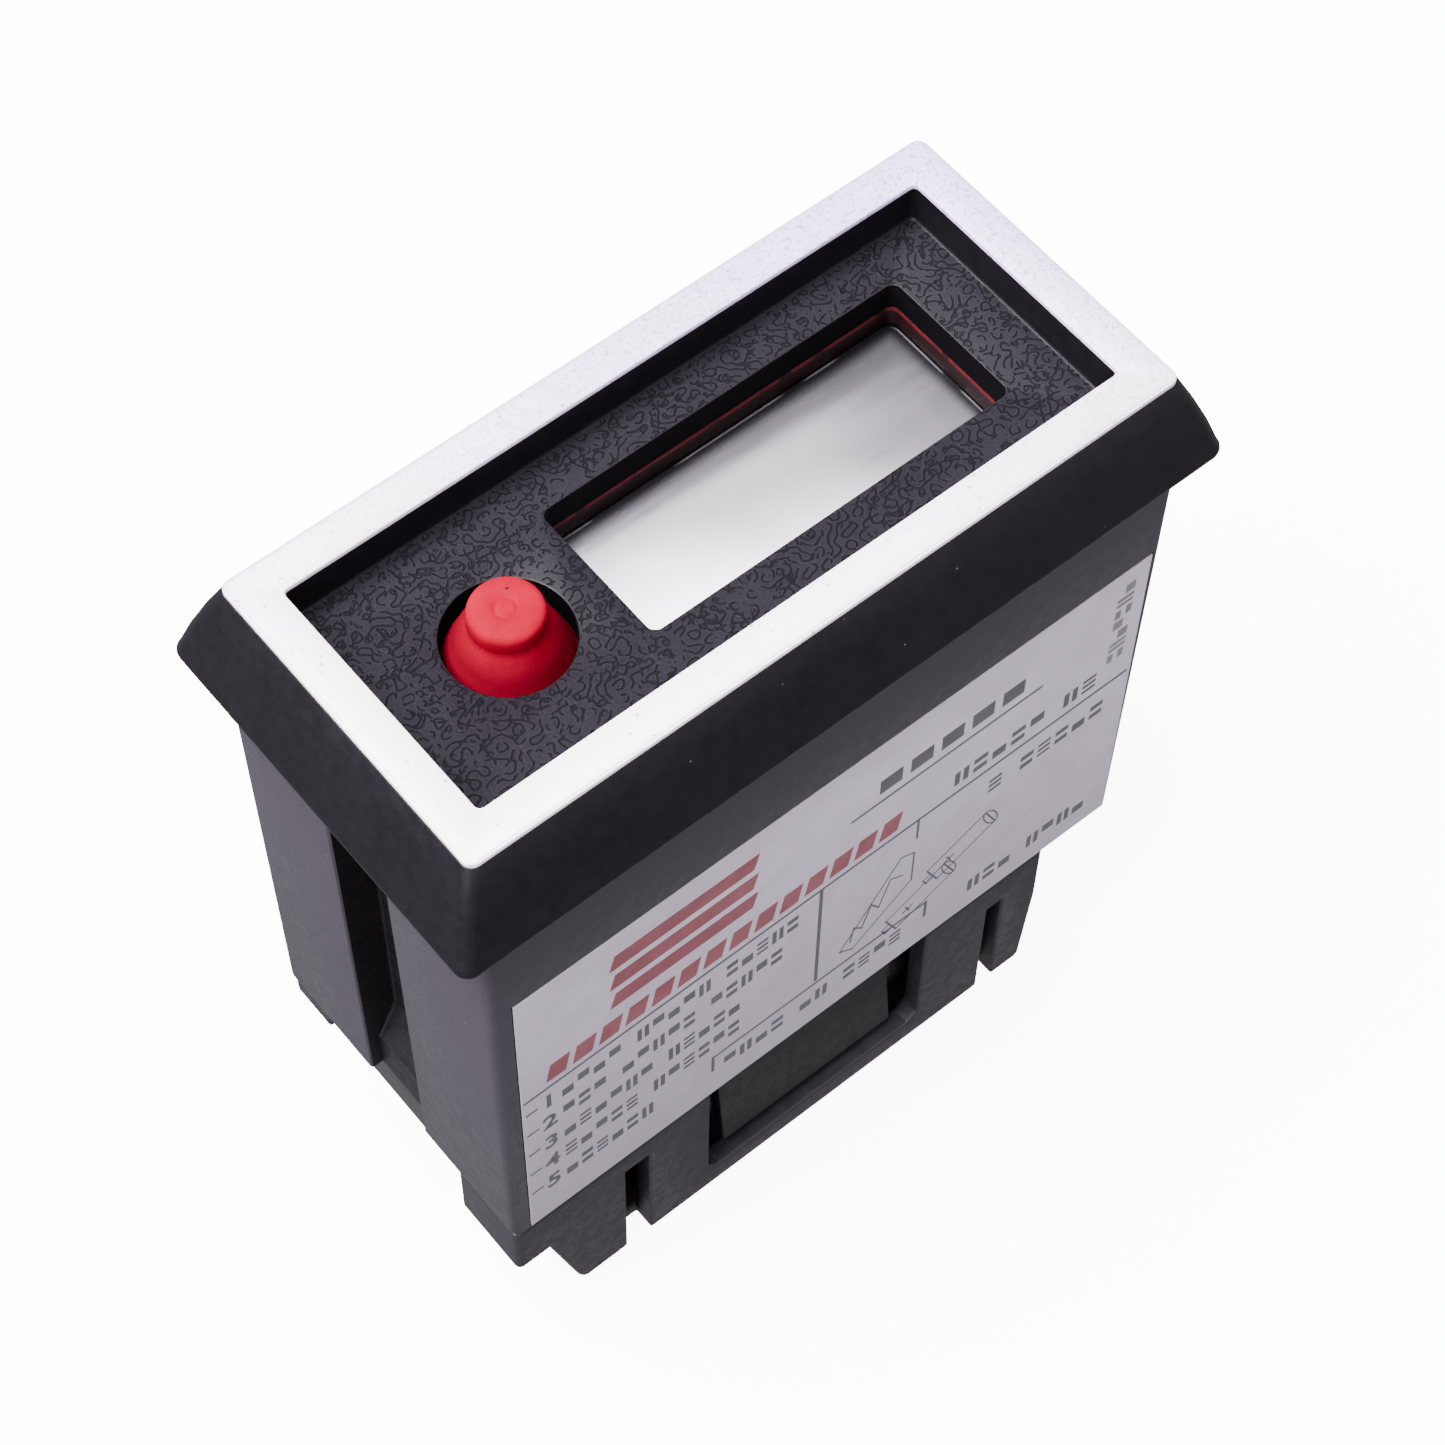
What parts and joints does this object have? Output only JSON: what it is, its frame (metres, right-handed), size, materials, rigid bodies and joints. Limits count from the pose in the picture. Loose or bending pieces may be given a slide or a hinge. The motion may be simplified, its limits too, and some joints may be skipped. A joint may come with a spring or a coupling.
{
  "type": "panel-mount electronic counter",
  "caption": "Battery-powered panel-mount event counter: black case with silver-trimmed bezel, recessed LCD window, red push-to-reset button, side label and snap-off rear cover.",
  "frame": {"origin": "centre of the footprint on the surface that the counter stands on, on its rear cover", "axes": "+Z out of the front face and the direction the display faces, +X along the long side toward the display end, -Y toward the rating label"},
  "size_m": [0.0658, 0.0324, 0.073],
  "materials": {
    "case_plastic": "satin moulded black, fine sand texture on the outside, pebble grain on the recess floor",
    "trim_silver": "satin silver with a fine sand-cast grain",
    "label_film": "pale grey satin film with black and dark red print",
    "seal_rubber": "dark red silicone rubber",
    "display_glass": "clear polished glass",
    "display_silver": "silver reflector film, faintly brushed",
    "inner_plastic": "black moulded, unpolished",
    "elastomer": "layered conductive rubber strip",
    "circuit_board": "green solder mask over glass laminate",
    "screw_steel": "plated steel, turned and wound",
    "chip_plastic": "black moulding compound",
    "button_rubber": "bright red silicone rubber, soft sheen",
    "carbon": "black conductive pill",
    "capacitor_sleeve": "dark blue shrink sleeve",
    "component_body": "tan dipped body",
    "terminal_plastic": "dark grey moulded",
    "cell_jacket": "plain grey printed jacket over a steel can",
    "contact_tin": "tinned spring strip",
    "clamp_brass": "nickel-tinted brass"
  },
  "bodies": {
    "root": {"bezel": "case_plastic", "trim_frame": "trim_silver", "case_shell": "case_plastic", "rating_label": "label_film", "rubber_seal": "seal_rubber", "display_film": "display_glass", "display_front_glass": "display_glass", "display_rear_glass": "display_glass", "display_reflector": "display_silver", "display_holder": "inner_plastic", "contact_strip_front": "elastomer", "contact_strip_back": "elastomer", "display_board": "circuit_board", "board_screw_1": "screw_steel", "board_screw_2": "screw_steel", "board_screw_3": "screw_steel", "counter_chip": "chip_plastic", "quartz_crystal": "screw_steel", "main_board": "circuit_board", "board_link_header": "chip_plastic", "electrolytic_capacitor": "capacitor_sleeve", "ceramic_capacitor": "component_body", "resistor_1": "component_body", "resistor_2": "component_body", "terminal_block": "terminal_plastic", "battery_holder": "inner_plastic", "cell_1": "cell_jacket", "cell_2": "cell_jacket", "battery_contact_negative": "contact_tin", "battery_contact_positive": "contact_tin", "cell_bridge": "contact_tin", "cell_spring_1": "screw_steel", "cell_spring_2": "screw_steel", "terminal_pin_1": "contact_tin", "terminal_pin_2": "contact_tin", "terminal_pin_3": "contact_tin", "terminal_pin_4": "contact_tin", "terminal_pin_5": "contact_tin", "button_skirt": "button_rubber"},
    "reset_button": {"reset_button_cap": "button_rubber", "contact_pill": "carbon"},
    "cover": {"rear_cover": "case_plastic"},
    "screw_1": {"terminal_screw_1": "screw_steel"},
    "clamp_1": {"terminal_clamp_1": "clamp_brass"},
    "screw_2": {"terminal_screw_2": "screw_steel"},
    "clamp_2": {"terminal_clamp_2": "clamp_brass"},
    "screw_3": {"terminal_screw_3": "screw_steel"},
    "clamp_3": {"terminal_clamp_3": "clamp_brass"},
    "screw_4": {"terminal_screw_4": "screw_steel"},
    "clamp_4": {"terminal_clamp_4": "clamp_brass"},
    "screw_5": {"terminal_screw_5": "screw_steel"},
    "clamp_5": {"terminal_clamp_5": "clamp_brass"}
  },
  "joints": [
    {"name": "reset_press", "type": "slide", "parent": "root", "child": "reset_button", "axis": [0, 0, -1], "range_m": [0, 0.0012], "stiffness_N_per_m": 1200, "deforming": ["button_skirt"]},
    {"name": "rear_cover_slide", "type": "slide", "parent": "root", "child": "cover", "axis": [0, 0, -1], "range_m": [0, 0.022]},
    {"name": "terminal_screw_1_turn", "type": "hinge", "parent": "root", "child": "screw_1", "pos_m": [-0.0252, -0.00565, 0.0095], "axis": [0, 0, -1], "range_deg": [0, 1350]},
    {"name": "terminal_clamp_1_draw", "type": "slide", "parent": "root", "child": "clamp_1", "axis": [0, 0, -1], "range_m": [0, 0.0015]},
    {"name": "terminal_screw_2_turn", "type": "hinge", "parent": "root", "child": "screw_2", "pos_m": [-0.0252, -0.00245, 0.0095], "axis": [0, 0, -1], "range_deg": [0, 1350]},
    {"name": "terminal_clamp_2_draw", "type": "slide", "parent": "root", "child": "clamp_2", "axis": [0, 0, -1], "range_m": [0, 0.0015]},
    {"name": "terminal_screw_3_turn", "type": "hinge", "parent": "root", "child": "screw_3", "pos_m": [-0.0252, 0.00075, 0.0095], "axis": [0, 0, -1], "range_deg": [0, 1350]},
    {"name": "terminal_clamp_3_draw", "type": "slide", "parent": "root", "child": "clamp_3", "axis": [0, 0, -1], "range_m": [0, 0.0015]},
    {"name": "terminal_screw_4_turn", "type": "hinge", "parent": "root", "child": "screw_4", "pos_m": [-0.0252, 0.00395, 0.0095], "axis": [0, 0, -1], "range_deg": [0, 1350]},
    {"name": "terminal_clamp_4_draw", "type": "slide", "parent": "root", "child": "clamp_4", "axis": [0, 0, -1], "range_m": [0, 0.0015]},
    {"name": "terminal_screw_5_turn", "type": "hinge", "parent": "root", "child": "screw_5", "pos_m": [-0.0252, 0.00715, 0.0095], "axis": [0, 0, -1], "range_deg": [0, 1350]},
    {"name": "terminal_clamp_5_draw", "type": "slide", "parent": "root", "child": "clamp_5", "axis": [0, 0, -1], "range_m": [0, 0.0015]}
  ],
  "couplings": [
    {"joint": "terminal_screw_1_turn", "follows": "terminal_clamp_1_draw", "rad_per_m": 15708},
    {"joint": "terminal_screw_2_turn", "follows": "terminal_clamp_2_draw", "rad_per_m": 15708},
    {"joint": "terminal_screw_3_turn", "follows": "terminal_clamp_3_draw", "rad_per_m": 15708},
    {"joint": "terminal_screw_4_turn", "follows": "terminal_clamp_4_draw", "rad_per_m": 15708},
    {"joint": "terminal_screw_5_turn", "follows": "terminal_clamp_5_draw", "rad_per_m": 15708}
  ]
}
